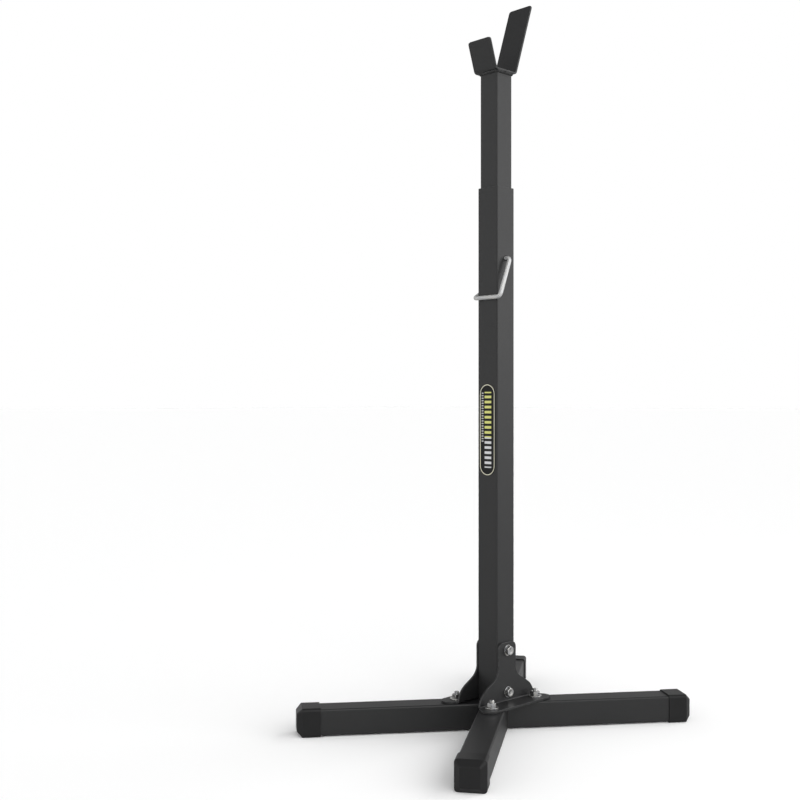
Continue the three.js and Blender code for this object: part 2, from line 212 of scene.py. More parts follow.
def square_tube(width, wall, corner, length, slant=None):
    """A tube along +X from zero: along the outside, over the sawn end and back along the inside.
    A slant gives where the near end starts at each place across the tube."""
    middle = 0.29 * sawn_edge
    rounding = ((0, sawn_edge), (middle, middle), (sawn_edge, 0))
    far_end = [(inset, 1, -back) for inset, back in rounding]
    far_end += [(wall - inset, 1, -back) for inset, back in reversed(rounding)]
    near_end = [(inset, 0, -back) for inset, _, back in reversed(far_end)]
    rings = []
    for inset, end, shift in far_end + near_end:
        side = width - 2 * inset
        side_corner = max(corner - inset, corner / 3)
        ring = []
        for y, z in rounded_rectangle(side, side, side_corner, tube_corner_steps):
            start = slant(y) if slant else 0
            ring.append((length + shift if end else start + shift, y, z))
        rings.append(ring)
    return loft(rings, closed=True)


def soften(piece, width=0.0):
    """Smooth faces that stay flat where they are flat, and a narrow round on sharp edges."""
    mesh = piece.data
    mesh.polygons.foreach_set("use_smooth", [True] * len(mesh.polygons))
    mesh.set_sharp_from_angle(angle=sharp_turn)
    if width:
        bevel = piece.modifiers.new("round", "BEVEL")
        bevel.width = width
        bevel.segments = 2
        bevel.limit_method = "ANGLE"
        bevel.angle_limit = sharp_turn
    weighted = piece.modifiers.new("flat_faces", "WEIGHTED_NORMAL")
    weighted.keep_sharp = True


def add_piece(name, made, place, finish, slot, body, *nodes):
    """One piece of the stand from its points and faces, riding on its body for its CAD nodes."""
    points, faces = made
    mesh = bpy.data.meshes.new(name)
    mesh.from_pydata([place @ Vector(point) for point in points], [], faces)
    mesh.materials.append(finish)
    piece = bpy.data.objects.new(name, mesh)
    bpy.context.scene.collection.objects.link(piece)
    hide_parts(*nodes)
    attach(piece, body)
    return piece


def drill(piece, radius, depth, holes):
    """Cuts round holes, each given by its middle and the direction it is drilled in."""
    cutter = bpy.data.meshes.new("drill")
    points, faces = [], []
    for middle, direction in holes:
        aim = Vector(direction).to_track_quat("Z", "Y").to_matrix()
        ends = [circle(radius, end, drill_sides) for end in (-depth / 2, depth / 2)]
        rings = [[Vector(middle) + aim @ Vector(point) for point in end] for end in ends]
        ring_points, ring_faces = loft(rings, capped=True)
        faces += [tuple(i + len(points) for i in face) for face in ring_faces]
        points += ring_points
    cutter.from_pydata(points, [], faces)
    tool = bpy.data.objects.new("drill", cutter)
    bpy.context.scene.collection.objects.link(tool)
    cut = piece.modifiers.new("drill", "BOOLEAN")
    cut.object = tool
    cut.solver = "EXACT"
    bpy.context.view_layer.update()
    drilled = piece.evaluated_get(bpy.context.evaluated_depsgraph_get())
    drilled = bpy.data.meshes.new_from_object(drilled)
    piece.modifiers.remove(cut)
    piece.data = drilled
    bpy.data.objects.remove(tool)


def leg_bolt_spot(side):
    """Where a leg's bolt stands, seen from above."""
    low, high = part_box(f"leg_bolt_{side}")
    return (low + high) / 2


def against_long_leg(y):
    """Where a short leg starts: on the long leg's side, which crosses it at twice the slant."""
    crossing = 2 * leg_slant
    return (leg_width / 2 + seat_gap) / math.sin(crossing) + y / math.tan(crossing)


black_coat = powder_coat()
leg_low, leg_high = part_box("base_long_leg")
leg_lift = Matrix.Translation((0, 0, (leg_low.z + leg_high.z) / 2))
leg_turns = {
    "right": leg_slant,
    "left": leg_slant + math.pi,
    "front": -leg_slant,
    "rear": math.pi - leg_slant,
}
long_leg = add_piece(
    "long_leg",
    square_tube(leg_width, leg_wall, leg_corner, 2 * long_leg_half),
    leg_lift @ Matrix.Rotation(leg_slant, 4, "Z") @ Matrix.Translation((-long_leg_half, 0, 0)),
    black_coat, "powder_coat", "base", "base_long_leg",
)
drilled_legs = [(long_leg, ("right", "left"))]
for side in ("front", "rear"):
    short_leg = add_piece(
        f"{side}_leg",
        square_tube(leg_width, leg_wall, leg_corner, short_leg_length, against_long_leg),
        leg_lift @ Matrix.Rotation(leg_turns[side], 4, "Z"),
        black_coat, "powder_coat", "base", f"base_{side}_leg",
    )
    drilled_legs.append((short_leg, (side,)))
for leg, sides in drilled_legs:
    spots = [leg_bolt_spot(side) for side in sides]
    for radius, wall in ((leg_bolt_hole, leg_high.z), (leg_access_hole, leg_low.z)):
        holes = [((spot.x, spot.y, wall), (0, 0, 1)) for spot in spots]
        drill(leg, radius, drill_walls * leg_wall, holes)
    soften(leg, edge_round)


# End caps: moulded black plastic cups pushed over the ends of the legs, with a chamfered end.
# They are the feet: the stand rests on them and the tubes stay just off the floor.
cap_width = 0.0438
cap_length = 0.036
cap_wall = 0.0016
cap_depth = 0.027
cap_bottom_round = 0.001
cap_chamfer = 0.008
cap_corner = 0.005
cap_end_corner = 0.0022
cap_rim = 0.0004
cap_soft = 0.0004
cap_lead = 0.0006
cap_corner_steps = 8
long_reach = 0.3095
short_reach = 0.315
round_share = 0.3
plastic_dark = (0.0075, 0.0075, 0.0078)
plastic_pale = (0.0105, 0.0105, 0.0108)
# Grey for the edges: partly scuffing, partly a painted highlight along them.
plastic_rub_and_highlight = (0.085, 0.085, 0.086)
plastic_gloss = 0.24
plastic_rub_and_highlight_reach = 0.0016


def moulded_plastic():
    """Matt black plastic with the fine grain of the mould; its edges paler from scuffs and a
    painted highlight.
    """
    finish, tree, shader, place = new_finish("black_plastic")
    rub_and_highlight_share = 0.5
    smoothest, dullest = 0.32, 0.44
    cloud = speckle(tree, place, scale=24, detail=3)
    grain = speckle(tree, place, scale=1500, detail=3, rough=0.65)
    rub_and_highlight = rubbed_and_highlit_edges(tree, place, plastic_rub_and_highlight_reach, patches=210, patch_start=0.4, patch_full=0.65)
    plastic = colour_between(tree, cloud, plastic_dark, plastic_pale)
    # Edges are painted paler: partly scuffs, partly a painted highlight.
    plastic = colour_between(tree, times(tree, rub_and_highlight, rub_and_highlight_share), plastic, plastic_rub_and_highlight)
    rough = stretch(tree, grain, 0.3, 0.7, smoothest, dullest)
    shader.inputs["Specular IOR Level"].default_value = plastic_gloss
    lay_on(tree, shader, plastic, rough, grain, strength=0.45, depth=0.00009)
    return finish


def end_cap():
    """A cup along +X, its rim at zero: from its bottom inside, out over the rim and to its end.
    The mouth is opened a little, so that a dark groove shows between cap and leg."""
    slope = cap_soft * math.sin(math.pi / 4)
    shoulder = cap_length - cap_chamfer
    room = cap_width - 2 * cap_wall
    room_corner = cap_corner - cap_wall
    end_width = cap_width - 2 * cap_chamfer
    part = round_share
    inside = [
        (cap_depth, room - 2 * cap_bottom_round, room_corner - cap_bottom_round),
        (cap_depth - cap_bottom_round, room, room_corner),
    ]
    mouth = [
        (2 * cap_lead, room, room_corner),
        (part * cap_rim, room + 1.6 * cap_lead, room_corner + cap_lead),
        (0, room + 2 * cap_lead, room_corner + cap_lead),
        (0, cap_width - 2 * cap_rim, cap_corner - cap_rim),
        (part * cap_rim, cap_width - 2 * part * cap_rim, cap_corner - part * cap_rim),
        (cap_rim, cap_width, cap_corner),
    ]
    outside = [
        (shoulder - cap_soft, cap_width, cap_corner),
        (shoulder - part * cap_soft, cap_width - part * cap_soft, cap_corner),
        (shoulder + slope, cap_width - 2 * slope, cap_corner * 0.9),
        (cap_length - slope, end_width + 2 * slope, cap_end_corner * 1.3),
        (cap_length - part * cap_soft, end_width + part * cap_soft, cap_end_corner),
        (cap_length, end_width - 2 * cap_soft, cap_end_corner * 0.7),
    ]
    rings = []
    for along, width, corner in inside + mouth + outside:
        section = rounded_rectangle(width, width, corner, cap_corner_steps)
        rings.append([(along, y, z) for y, z in section])
    return loft(rings, capped=True)


black_plastic = moulded_plastic()
for side, turn in leg_turns.items():
    reach = long_reach if side in ("right", "left") else short_reach
    pushed_on = Matrix.Translation((reach - cap_length, 0, 0))
    cap = add_piece(
        f"cap_{side}", end_cap(), leg_lift @ Matrix.Rotation(turn, 4, "Z") @ pushed_on,
        black_plastic, "cap_plastic", "base", f"end_cap_{side}",
    )
    soften(cap)


# Lower post: the same square tube stood upright, open at the top, drilled right through for the
# wire pin and the two long bolts. Powder coated black.
post_wall = 0.002
post_corner = 0.0025
pin_hole = 0.00425
post_bolt_hole = 0.00425
wire_radius = 0.00325
drill_widths = 1.5
upright = Matrix.Rotation(-math.pi / 2, 4, "Y")


def middle_height(node):
    low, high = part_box(node)
    return (low.z + high.z) / 2


def drill_across(post, radius, width, heights):
    """Drills right through a post from side to side at each of these heights."""
    holes = [((0, 0, height), (1, 0, 0)) for height in heights]
    drill(post, radius, drill_widths * width, holes)


post_low, post_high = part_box("lower_post")
post_width = post_high.x - post_low.x
pin_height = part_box("lock_pin")[1].z - wire_radius
post_bolt_heights = [middle_height("post_bolt_upper"), middle_height("post_bolt_lower")]
lower_post = add_piece(
    "post_lower",
    square_tube(post_width, post_wall, post_corner, post_high.z - post_low.z),
    Matrix.Translation((0, 0, post_low.z)) @ upright,
    black_coat, "powder_coat", "base", "lower_post",
)
drill_across(lower_post, pin_hole, post_width, [pin_height])
drill_across(lower_post, post_bolt_hole, post_width, post_bolt_heights)
soften(lower_post, edge_round)


# Brackets: two alike, cut and bent from 3 mm sheet. A strap lies on the post and flares out to
# a foot on the legs. Through bolts clamp the straps, and four bolts hold the feet to the legs.
sheet_thickness = 0.003
sheet_bend = 0.0014
sheet_edge = 0.0005
sheet_corner_steps = 4
bend_steps = 12
strap_height = 0.0925
strap_corner = 0.009
flare_height = 0.050
flare_half = 0.063
flare_handles = ((0.04, 0.5), (0.91, 0.38))
flare_steps = 28
foot_reach = 0.034
foot_half = 0.057
toe_spread = 0.004
ear_handles = ((0.25, 1.14), (0.5, 1.2), (0.68, 1.185), (0.9, 1.15), (1, 1.04))
ear_steps = (14, 18)


def bezier(start, first, second, end, steps):
    """Points on a curve between its start and its end, both with it."""
    points = []
    for step in range(steps + 1):
        t = step / steps
        weights = ((1 - t) ** 3, 3 * t * (1 - t) ** 2, 3 * t * t * (1 - t), t ** 3)
        corners = (start, first, second, end)
        points.append(tuple(sum(w * c[i] for w, c in zip(weights, corners)) for i in range(2)))
    return points


def bent_strip(stations, thickness, edge, across):
    """Flat metal bent along its length. Each station has its middle, the direction through the
    metal, half its width there and how far the section is drawn in at a rounded end."""
    rings = []
    for middle, normal, half, inset in stations:
        width, depth = 2 * (half - inset), thickness - 2 * inset
        corner = max(edge - inset, edge / 8)
        section = rounded_rectangle(width, depth, corner, sheet_corner_steps)
        rings.append([middle + across * u + normal * v for u, v in section])
    return loft(rings, capped=True)


def round_off(end, half, normal, outward, edge):
    """The last three stations at a rounded end, from the full section to the end's flat."""
    return [
        (end - outward * edge, normal, half, 0),
        (end - outward * round_share * edge, normal, half, round_share * edge),
        (end, normal, half, edge),
    ]


def bracket():
    """A bracket against the post's right face: down the strap and its flare, round the bend and
    out over the foot, whose two ears reach to the leg bolts."""
    half_post = post_width / 2
    half_sheet = sheet_thickness / 2
    bend = sheet_thickness + sheet_bend
    out, up = Vector((1, 0, 0)), Vector((0, 0, 1))
    strap_end = Vector((half_sheet, 0, strap_height))
    stations = round_off(strap_end, half_post - strap_corner, out, up, sheet_edge)
    stations.reverse()
    for step in range(1, bend_steps + 1):
        turn = math.pi / 2 * (1 - step / bend_steps)
        height = strap_height - strap_corner * (1 - math.sin(turn))
        if height < strap_height - sheet_edge:
            half = half_post - strap_corner * (1 - math.cos(turn))
            stations.append((Vector((half_sheet, 0, height)), out, half, 0))
    flare_top = sheet_thickness + flare_height
    spread = flare_half - half_post
    handles = [(half_post + a * spread, flare_top - b * flare_height) for a, b in flare_handles]
    flare = bezier((half_post, flare_top), *handles, (flare_half, sheet_thickness), flare_steps)
    for half, height in flare:
        if height > bend:
            stations.append((Vector((half_sheet, 0, height)), out, half, 0))
    for step in range(bend_steps + 1):
        turn = math.pi / 2 * step / bend_steps
        normal = Vector((math.cos(turn), 0, math.sin(turn)))
        middle = Vector((bend, 0, bend)) - normal * (bend - half_sheet)
        stations.append((middle, normal, flare_half, 0))
    ears = [(a * foot_reach, b * flare_half) for a, b in ear_handles]
    ear = bezier((bend, flare_half), *ears[:3], ear_steps[0])[1:]
    ear += bezier(ears[2], *ears[3:], (foot_reach, foot_half), ear_steps[1])[1:]
    for reach, half in ear:
        if reach < foot_reach - sheet_edge:
            stations.append((Vector((reach, 0, half_sheet)), up, half, 0))
    toe = Vector((foot_reach, 0, half_sheet))
    stations += round_off(toe, foot_half + toe_spread, up, out, sheet_edge)
    return bent_strip(stations, sheet_thickness, sheet_edge, Vector((0, 1, 0)))


bracket_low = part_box("bracket_right")[0]
bracket_place = Matrix.Translation((bracket_low.x, 0, bracket_low.z))
for side, turn, legs in (("right", 0, ("right", "front")), ("left", math.pi, ("left", "rear"))):
    plate = add_piece(
        f"bracket_plate_{side}", bracket(), Matrix.Rotation(turn, 4, "Z") @ bracket_place,
        black_coat, "powder_coat", "base", f"bracket_{side}",
    )
    strap_x = math.cos(turn) * bracket_low.x
    through = [((strap_x, 0, height), (1, 0, 0)) for height in post_bolt_heights]
    spots = [leg_bolt_spot(leg) for leg in legs]
    down = [((spot.x, spot.y, bracket_low.z), (0, 0, 1)) for spot in spots]
    drill(plate, post_bolt_hole, drill_walls * sheet_thickness, through + down)
    soften(plate, edge_round)


# Fasteners: M8 hexagon bolts, washers and nuts, zinc plated. Four short bolts hold the brackets
# to the legs, and two long ones go right through both straps and the post.
bolt_radius = 0.004
bolt_tip = 0.0006
bolt_tip_inset = 0.0011
hex_across = 0.013
hex_points = 48
hex_flat_share = 0.475
hex_corner_steps = 5
head_height = 0.0053
head_dish = ((0.0008, 0.0006), (0.0034, 0.0005), (0.0042, 0))
collar_radius = 0.0059
collar_height = 0.0004
nut_height = 0.0065
nut_play = 0.0001
bore_chamfer = 0.0006
thread_pitch = 0.00125
thread_depth = 0.00055
thread_length = 0.012
thread_stop = 0.0008
thread_fade = 0.0003
thread_slope = 2.6
thread_steps = 8
least_shank = 0.002
washer_bore = 0.00425
washer_edge = 0.00035
bright_pale = (0.47, 0.48, 0.50)
bright_warm = (0.58, 0.57, 0.54)


def zinc_plate(name, pale, warm, shine, smoothest):
    """Zinc plate: bluish with a faint yellow tinge, finely pitted, duller in patches."""
    finish, tree, shader, place = new_finish(name)
    dullest = smoothest + 0.12
    patch = speckle(tree, place, scale=210, detail=3)
    pits = speckle(tree, place, scale=1700, detail=2)
    tint = colour_between(tree, stretch(tree, patch, 0.35, 0.65, 0, 1), pale, warm)
    rough = stretch(tree, patch, 0.3, 0.7, smoothest, dullest)
    shader.inputs["Metallic"].default_value = shine
    lay_on(tree, shader, tint, rough, pits, strength=0.3, depth=0.00004)
    return finish


def round_ring(radius, height):
    """A circle with as many points as a hexagon's ring has, so that the two join."""
    return circle(radius, height, hex_points)


def hex_radius(turn):
    """How far the hexagon's side lies from its middle; the corners point along X."""
    from_flat = (turn % (math.pi / 3)) - math.pi / 6
    return hex_across / 2 / math.cos(from_flat)


def hex_ring(height, widest=1.0):
    """A ring round a hexagon, cut back to a circle where its corners are turned off."""
    ring = []
    for i in range(hex_points):
        turn = math.tau * i / hex_points
        radius = min(hex_radius(turn), widest)
        ring.append((radius * math.cos(turn), radius * math.sin(turn), height))
    return ring


def turned_corners(face, away):
    """Rings where the corners of a hexagon are turned off at 30 degrees towards a face."""
    flat = hex_flat_share * hex_across
    corner = hex_across / math.sqrt(3)
    rings = []
    for step in range(hex_corner_steps + 1):
        widest = flat + (corner - flat) * step / hex_corner_steps
        rings.append(hex_ring(face + away * (widest - flat) * math.tan(math.pi / 6), widest))
    return rings


def thread_ring(height):
    """A ring across the thread, whose groove winds once round the bolt in each pitch."""
    ring = []
    for i in range(hex_points):
        turn = math.tau * i / hex_points
        phase = (height / thread_pitch - i / hex_points) % 1
        groove = min(1, thread_slope * abs(phase - 0.5))
        radius = bolt_radius - thread_depth * groove
        ring.append((radius * math.cos(turn), radius * math.sin(turn), height))
    return ring


def bolt(length):
    """A bolt up +Z from the face under its head: dished head, plain shank, rolled thread."""
    rings = [round_ring(radius, -head_height + depth) for radius, depth in head_dish]
    rings += turned_corners(-head_height, 1)
    rings += [hex_ring(-collar_height), round_ring(collar_radius, -collar_height)]
    rings += [round_ring(collar_radius, 0), round_ring(bolt_radius, 0)]
    start = max(length - thread_length, least_shank)
    end = length - thread_stop
    rings.append(round_ring(bolt_radius, start - thread_fade))
    steps = round((end - start) / (thread_pitch / thread_steps))
    rings += [thread_ring(start + (end - start) * step / steps) for step in range(steps + 1)]
    rings.append(round_ring(bolt_radius - thread_depth, length - bolt_tip))
    rings.append(round_ring(bolt_radius - bolt_tip_inset, length))
    return loft(rings, capped=True)


def nut():
    """A nut up +Z from zero, its corners turned off on both faces, with a chamfered bore."""
    bore = bolt_radius + nut_play
    mouth = bore + bore_chamfer
    rings = [round_ring(bore, bore_chamfer), round_ring(mouth, 0)]
    rings += turned_corners(0, 1)
    rings += reversed(turned_corners(nut_height, -1))
    rings += [round_ring(mouth, nut_height), round_ring(bore, nut_height - bore_chamfer)]
    return loft(rings, closed=True)


def washer(radius, thickness):
    """A plain stamped washer up +Z from zero, rounded at its upper rim."""
    edge = washer_edge
    part = round_share * edge
    corners = [
        (washer_bore, 0),
        (radius - edge / 2, 0),
        (radius, edge / 2),
        (radius, thickness - edge),
        (radius - part, thickness - part),
        (radius - edge, thickness),
        (washer_bore + edge, thickness),
        (washer_bore, thickness - edge),
    ]
    return loft([round_ring(*corner) for corner in corners], closed=True)


zinc = zinc_plate("bright_zinc", bright_pale, bright_warm, shine=1, smoothest=0.16)


def fasten(name, made, place, node):
    soften(add_piece(name, made, place, zinc, "zinc", "base", node))


washer_low, washer_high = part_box("leg_washer_right")
foot_washer_radius = (washer_high.x - washer_low.x) / 2
washer_thickness = washer_high.z - washer_low.z
washer_low, washer_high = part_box("post_washer_right_upper")
post_washer_radius = (washer_high.z - washer_low.z) / 2
for side, turn in leg_turns.items():
    spot = leg_bolt_spot(side)
    bolt_low, bolt_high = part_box(f"leg_bolt_{side}")
    under_head = bolt_low.z + head_height
    washer_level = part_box(f"leg_washer_{side}")[0].z
    nut_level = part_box(f"leg_nut_{side}")[0].z
    foot_fasteners = (
        ("bolt", bolt(bolt_high.z - under_head), under_head),
        ("washer", washer(foot_washer_radius, washer_thickness), washer_level),
        ("nut", nut(), nut_level),
    )
    for kind, made, level in foot_fasteners:
        place = Matrix.Translation((spot.x, spot.y, level)) @ Matrix.Rotation(turn, 4, "Z")
        fasten(f"foot_{kind}_{side}", made, place, f"leg_{kind}_{side}")

towards_left = Matrix.Rotation(-math.pi / 2, 4, "Y")
for level, height in zip(("upper", "lower"), post_bolt_heights):
    bolt_low, bolt_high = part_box(f"post_bolt_{level}")
    under_head = bolt_high.x - head_height
    place = Matrix.Translation((under_head, 0, height)) @ towards_left
    fasten(f"through_bolt_{level}", bolt(under_head - bolt_low.x), place, f"post_bolt_{level}")
    for side in ("right", "left"):
        washer_low, washer_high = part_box(f"post_washer_{side}_{level}")
        outward = towards_left if side == "left" else towards_left.inverted()
        face = washer_low.x if side == "right" else washer_high.x
        made = washer(post_washer_radius, washer_thickness)
        place = Matrix.Translation((face, 0, height)) @ outward
        fasten(f"through_washer_{side}_{level}", made, place, f"post_washer_{side}_{level}")
    nut_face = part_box(f"post_nut_{level}")[1].x
    place = Matrix.Translation((nut_face, 0, height)) @ towards_left
    fasten(f"through_nut_{level}", nut(), place, f"post_nut_{level}")


# Inner post: a smaller square tube that slides in the lower one. A row of holes right through it
# takes the wire pin. Powder coated like the rest.
inner_wall = 0.002
inner_corner = 0.0025
hole_pitch = 0.045
hole_count = 13
inner_low, inner_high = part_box("inner_post")
inner_width = inner_high.x - inner_low.x
inner_post = add_piece(
    "post_inner",
    square_tube(inner_width, inner_wall, inner_corner, inner_high.z - inner_low.z),
    Matrix.Translation((0, 0, inner_low.z)) @ upright,
    black_coat, "powder_coat", "upper", "inner_post",
)
hole_heights = [pin_height - step * hole_pitch for step in range(hole_count)]
drill_across(inner_post, pin_hole, inner_width, hole_heights)
soften(inner_post, edge_round)


# Cradle: a flat steel bar bent up at both ends, short at the front and long at the back, so that
# the bar rolls in and stays. A fillet weld joins it to the top of the inner post.
cradle_thickness = 0.003
cradle_base = 0.047
cradle_lean = math.radians(18.4)
cradle_bend = 0.003
cradle_edge = 0.0007
short_arm = 0.0484
long_arm = 0.1219
arm_corner = 0.0045
arm_corner_steps = 8
weld_leg = 0.0030
weld_sunk = 0.0001
weld_root = 0.0003
weld_ripple = 0.0019
ripple_steps = 5
weld_unevenness = 0.05
weld_wave = 0.05
weld_bulge = 0.16
weld_bulge_wave = 0.10
weld_swell_share = 0.7
weld_squareness = 7


def arm_stations(side, length, start):
    """The stations up one arm, from the end of its bend to its rounded tip."""
    up = Vector((0, side * math.sin(cradle_lean), math.cos(cradle_lean)))
    normal = Vector((0, -side * math.cos(cradle_lean), math.sin(cradle_lean)))
    corner = Vector((0, side * cradle_base / 2, 0)) + normal * cradle_thickness / 2
    full = [start, length - arm_corner]
    stations = [(corner + up * along, normal, cradle_half, 0) for along in full]
    for step in range(1, arm_corner_steps + 1):
        turn = math.pi / 2 * step / arm_corner_steps
        along = length - arm_corner * (1 - math.sin(turn))
        half = cradle_half - arm_corner * (1 - math.cos(turn))
        if along < length - cradle_edge:
            stations.append((corner + up * along, normal, half, 0))
    tip_half = cradle_half - arm_corner + cradle_edge
    return stations + round_off(corner + up * length, tip_half, normal, up, cradle_edge)


def cradle():
    """The bar from the tip of the short arm, down, across the post and up the long arm."""
    outer = cradle_bend + cradle_thickness
    turn = math.pi / 2 - cradle_lean
    setback = outer * math.tan(turn / 2)
    flat_half = cradle_base / 2 - setback
    sides = []
    for side, length in ((-1, short_arm), (1, long_arm)):
        stations = []
        for step in range(bend_steps + 1):
            angle = turn * step / bend_steps
            normal = Vector((0, -side * math.sin(angle), math.cos(angle)))
            centre = Vector((0, side * flat_half, outer))
            middle = centre - normal * (outer - cradle_thickness / 2)
            stations.append((middle, normal, cradle_half, 0))
        sides.append(stations + arm_stations(side, length, setback)[1:])
    stations = list(reversed(sides[0])) + sides[1]
    return bent_strip(stations, cradle_thickness, cradle_edge, Vector((1, 0, 0)))


def weld_bead():
    """A fillet of overlapping ripples round the top of the post, in the corner under the plate."""
    path = rounded_rectangle(inner_width, inner_width, inner_corner, tube_corner_steps)
    corners = [Vector((x, y, 0)) for x, y in path]
    following = corners[1:] + corners[:1]
    lengths = [(after - corner).length for corner, after in zip(corners, following)]
    total = sum(lengths)
    ripples = round(total / weld_ripple)
    steps = ripples * ripple_steps
    rings = []
    random.seed(7)
    unevenness = [random.uniform(-1, 1) for _ in range(ripples)]
    for step in range(steps):
        along = total * step / steps
        i = 0
        while along > lengths[i]:
            along -= lengths[i]
            i += 1
        here = corners[i].lerp(following[i], along / lengths[i])
        outward = Vector((here.x ** weld_squareness, here.y ** weld_squareness, 0)).normalized()
        ripple, phase = divmod(step, ripple_steps)
        wave = math.sin(math.pi * phase / ripple_steps)
        leg = weld_leg * (1 + weld_unevenness * unevenness[ripple] + weld_wave * wave)
        bulge = weld_bulge + weld_bulge_wave * wave
        ring = [here - outward * weld_root - Vector((0, 0, leg))]
        for t in (0, 0.25, 0.5, 0.75, 1):
            swell = math.sin(math.pi * t) * bulge * leg
            drop = Vector((0, 0, leg * (1 - t) + swell * weld_swell_share))
            ring.append(here + outward * (leg * t + swell * weld_swell_share) - drop)
        ring.append(here - outward * weld_root)
        rings.append(ring)
    return loft(rings, closed=True)


cradle_low, cradle_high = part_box("cradle")
cradle_half = (cradle_high.x - cradle_low.x) / 2
cradle_middle = (cradle_low.x + cradle_high.x) / 2
saddle = add_piece(
    "cradle_bar", cradle(), Matrix.Translation((cradle_middle, 0, cradle_low.z)),
    black_coat, "powder_coat", "upper", "cradle",
)
soften(saddle)
weld = add_piece(
    "weld_bead", weld_bead(), Matrix.Translation((0, 0, cradle_low.z - weld_sunk)),
    black_coat, "powder_coat", "upper",
)
soften(weld)


# Lock pin: one length of zinc-plated wire. Its shaft goes through both posts, and the rest is
# bent down the right side, across the front and round the left side to clip on the post.
wire_bend = 0.007
wire_bend_steps = 16
wire_sides = 28
wire_soft_share = 0.25
pin_tip = 0.004
bail_stand_off = 0.0055
bail_drop = 0.0605
hook_stand_off = 0.0012
hook_run = 0.016
hook_rise = 0.009
dull_pale = (0.43, 0.435, 0.445)
dull_warm = (0.49, 0.487, 0.472)


def wire_path():
    """The wire's middle line as points, with round bends."""
    bail_x = post_width / 2 + bail_stand_off + wire_radius
    hook_x = -(post_width / 2 + hook_stand_off + wire_radius)
    front_y = -(post_width / 2 + seat_gap + wire_radius)
    corners = [
        Vector((-(post_width / 2 + pin_tip), 0, 0)),
        Vector((bail_x, 0, 0)),
        Vector((bail_x, front_y, -bail_drop)),
        Vector((hook_x, front_y, -bail_drop)),
        Vector((hook_x, front_y + hook_run, -bail_drop + hook_rise)),
    ]
    points = [corners[0]]
    for before, corner, after in zip(corners, corners[1:], corners[2:]):
        start = corner + (before - corner).normalized() * wire_bend
        end = corner + (after - corner).normalized() * wire_bend
        for step in range(wire_bend_steps + 1):
            t = step / wire_bend_steps
            points.append(start * (1 - t) ** 2 + corner * 2 * t * (1 - t) + end * t ** 2)
    points.append(corners[-1])
    return points


def cut_end(end, inward):
    """The wire's line and radius at a softly cut end, from the end's flat to the full wire."""
    soft = wire_soft_share * wire_radius
    line = []
    for turn in (0, 0.5, 1.0):
        line.append((
            end + inward * soft * (1 - math.cos(turn)),
            wire_radius - soft * (1 - math.sin(turn)),
        ))
    return line + [(end + inward * soft, wire_radius)]


def wire():
    """The wire round its path."""
    points = wire_path()
    first = (points[1] - points[0]).normalized()
    last = (points[-1] - points[-2]).normalized()
    line = cut_end(points[0], first)
    line += [(point, wire_radius) for point in points[1:-1]]
    line += reversed(cut_end(points[-1], -last))
    side = Vector((0, 1, 0))
    rings = []
    for i, (point, radius) in enumerate(line):
        before = line[max(i - 1, 0)][0]
        after = line[min(i + 1, len(line) - 1)][0]
        along = (after - before).normalized()
        side = (side - along * side.dot(along)).normalized()
        other = along.cross(side)
        ring = []
        for turn in (math.tau * k / wire_sides for k in range(wire_sides)):
            ring.append(point + side * radius * math.cos(turn) + other * radius * math.sin(turn))
        rings.append(ring)
    return loft(rings, capped=True)


dull_zinc = zinc_plate("dull_zinc", dull_pale, dull_warm, shine=0.5, smoothest=0.34)
pin = add_piece(
    "wire_pin", wire(), Matrix.Translation((0, 0, pin_height)),
    dull_zinc, "zinc", "pin", "lock_pin",
)
soften(pin)


# Label: a thin printed film with round ends, stuck to the front of the lower post. Dark field,
# fine pale outline, plain bars and a row of ticks.
label_low, label_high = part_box("label")
label_width = label_high.x - label_low.x
label_length = label_high.z - label_low.z
label_thickness = label_high.y - label_low.y
label_middle = (label_low + label_high) / 2
label_straight = label_length / 2 - label_width / 2
label_end_steps = 24
label_rim_share = 0.4
label_gloss = 0.22
print_edge = 0.00008
outline_inset = 0.0017
outline_half = 0.00055
bar_middle, bar_half = 0.0015, 0.0068
bar_pitch, bar_share = 0.0078, 0.50
yellow_middle, yellow_half = 0.0234, 0.0351
white_middle, white_half = -0.0351, 0.0234
tick_middle, tick_half = -0.0096, 0.0019
tick_pitch, tick_share = 0.0039, 0.45
tick_row_middle, tick_row_half = 0.0195, 0.039
field_dark = (0.0035, 0.0036, 0.0038)
field_pale = (0.0055, 0.0056, 0.006)
print_cream = (0.56, 0.545, 0.43)
print_yellow = (0.51, 0.51, 0.155)
print_white = (0.50, 0.50, 0.515)
print_grey = (0.40, 0.40, 0.405)


